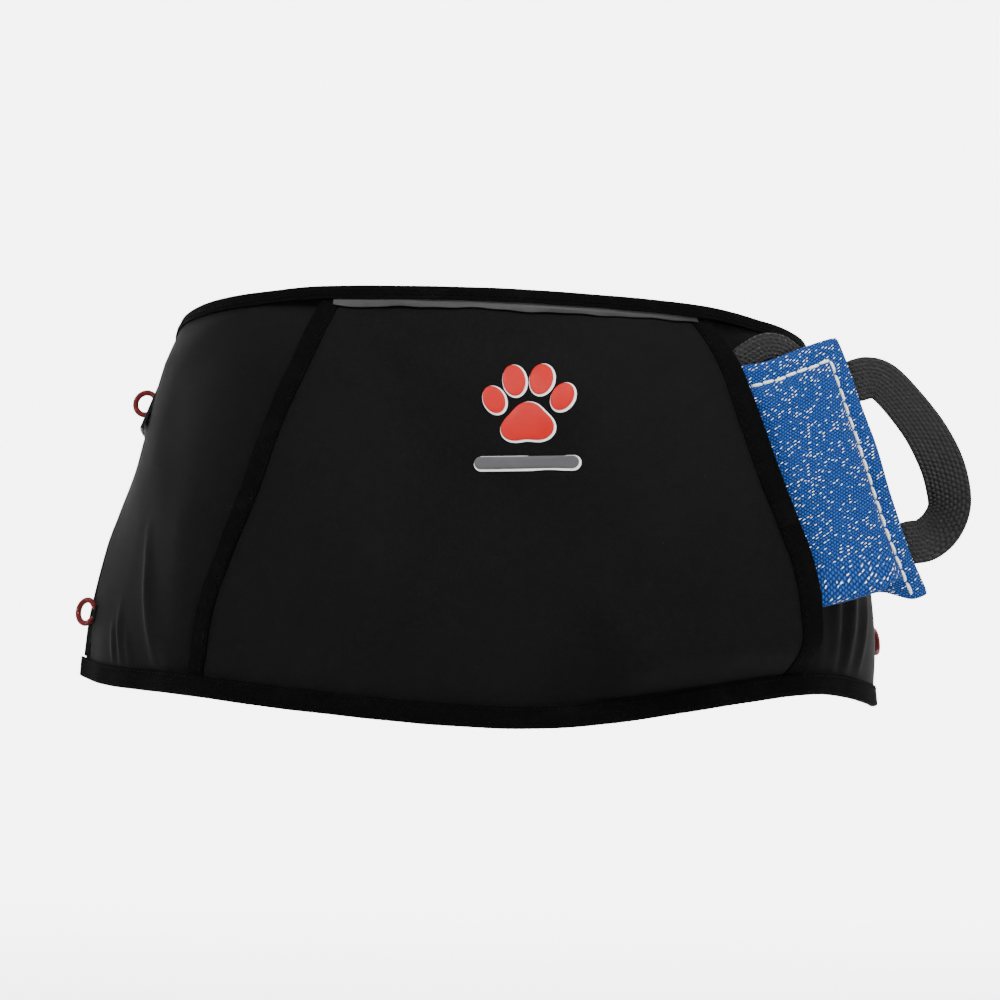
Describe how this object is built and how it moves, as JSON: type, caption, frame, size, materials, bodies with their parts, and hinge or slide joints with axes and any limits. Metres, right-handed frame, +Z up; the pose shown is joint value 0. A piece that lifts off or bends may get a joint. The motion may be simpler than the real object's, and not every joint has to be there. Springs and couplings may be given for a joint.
{
  "type": "treat pouch",
  "caption": "Waist-worn training pouch: curved front apron with an open-sided centre pocket, two side pockets, webbing belt and a removable bite pad.",
  "frame": {"origin": "middle of the wearer's waist at the belt's mid height, where the part is held up", "axes": "+Z up, -Y the front of the pouch, +X towards the wearer's left hand and the bite pad"},
  "size_m": [0.4188, 0.2851, 0.1928],
  "materials": {
    "black_softshell": "fine matt woven face, slightly brushed",
    "black_binding_tape": "matt ribbed binding tape",
    "grey_reflective_tape": "satin grey reflective tape",
    "red_rubber_print": "smooth raised print",
    "grey_rubber_print": "smooth raised print",
    "red_elastic_cord": "braided elastic cord with light flecks",
    "black_webbing": "ribbed woven webbing",
    "black_elastic": "ribbed elastic",
    "black_acetal": "satin moulded plastic",
    "blue_twill": "coarse twill with white flecks",
    "pad_filling": "felted fibre filling"
  },
  "bodies": {
    "root": {"badge_bar": "grey_rubber_print", "base_panel": "black_softshell", "buckle_socket": "black_acetal", "centre_pocket_panel": "black_softshell", "hem_binding": "black_binding_tape", "left_belt": "black_webbing", "left_opening_binding": "black_binding_tape", "left_rear_binding": "black_binding_tape", "left_side_panel": "black_softshell", "paw_palm": "red_rubber_print", "paw_toe_1": "red_rubber_print", "paw_toe_2": "red_rubber_print", "paw_toe_3": "red_rubber_print", "paw_toe_4": "red_rubber_print", "reflective_piping": "grey_reflective_tape", "right_belt": "black_webbing", "right_opening_binding": "black_binding_tape", "right_rear_binding": "black_binding_tape", "right_side_panel": "black_softshell", "strap_adjuster": "black_acetal", "waist_binding": "black_binding_tape"},
    "bite_pad": {"pad_cover_front": "blue_twill", "pad_cover_back": "blue_twill", "pad_core": "pad_filling"},
    "side_handle": {"pad_side_handle": "black_webbing"},
    "top_handle": {"pad_top_handle": "black_webbing"},
    "buckle_strap": {"buckle_plug": "black_acetal", "strap_end": "black_webbing"},
    "keeper": {"strap_keeper": "black_elastic"},
    "loop_upper_left": {"cord_loop_upper_left": "red_elastic_cord"},
    "loop_lower_left": {"cord_loop_lower_left": "red_elastic_cord"},
    "loop_upper_right": {"cord_loop_upper_right": "red_elastic_cord"},
    "loop_lower_right": {"cord_loop_lower_right": "red_elastic_cord"}
  },
  "joints": [
    {"name": "pad_pull_out", "type": "slide", "parent": "root", "child": "bite_pad", "axis": [0.9237, 0.3135, 0.22], "range_m": [0, 0.15]},
    {"name": "side_handle_fold", "type": "hinge", "parent": "bite_pad", "child": "side_handle", "pos_m": [0.17476, -0.11119, -0.01793], "axis": [-0.2721, 0.1327, 0.9531], "range_deg": [-75, 30]},
    {"name": "top_handle_fold", "type": "hinge", "parent": "bite_pad", "child": "top_handle", "pos_m": [0.09902, -0.12019, 0.02518], "axis": [0.9237, 0.3135, 0.22], "range_deg": [0, 8]},
    {"name": "buckle_release", "type": "slide", "parent": "root", "child": "buckle_strap", "axis": [1, 0, 0], "range_m": [0, 0.034]},
    {"name": "keeper_slide", "type": "slide", "parent": "root", "child": "keeper", "axis": [1, 0, 0], "range_m": [-0.0025, 0.008]},
    {"name": "loop_swing_upper_left", "type": "hinge", "parent": "root", "child": "loop_upper_left", "pos_m": [-0.17483, -0.01521, 0.00278], "axis": [0.2822, 0.1615, 0.9457], "range_deg": [-45, 13]},
    {"name": "loop_swing_lower_left", "type": "hinge", "parent": "root", "child": "loop_lower_left", "pos_m": [-0.19766, -0.03657, -0.10407], "axis": [0.1599, 0.0743, 0.9843], "range_deg": [-28, 40]},
    {"name": "loop_swing_upper_right", "type": "hinge", "parent": "root", "child": "loop_upper_right", "pos_m": [0.17485, -0.0152, 0.00277], "axis": [0.2817, -0.1704, -0.9442], "range_deg": [-30, 40]},
    {"name": "loop_swing_lower_right", "type": "hinge", "parent": "root", "child": "loop_lower_right", "pos_m": [0.19758, -0.0362, -0.10212], "axis": [0.1553, -0.1061, -0.9822], "range_deg": [-12, 40]}
  ]
}
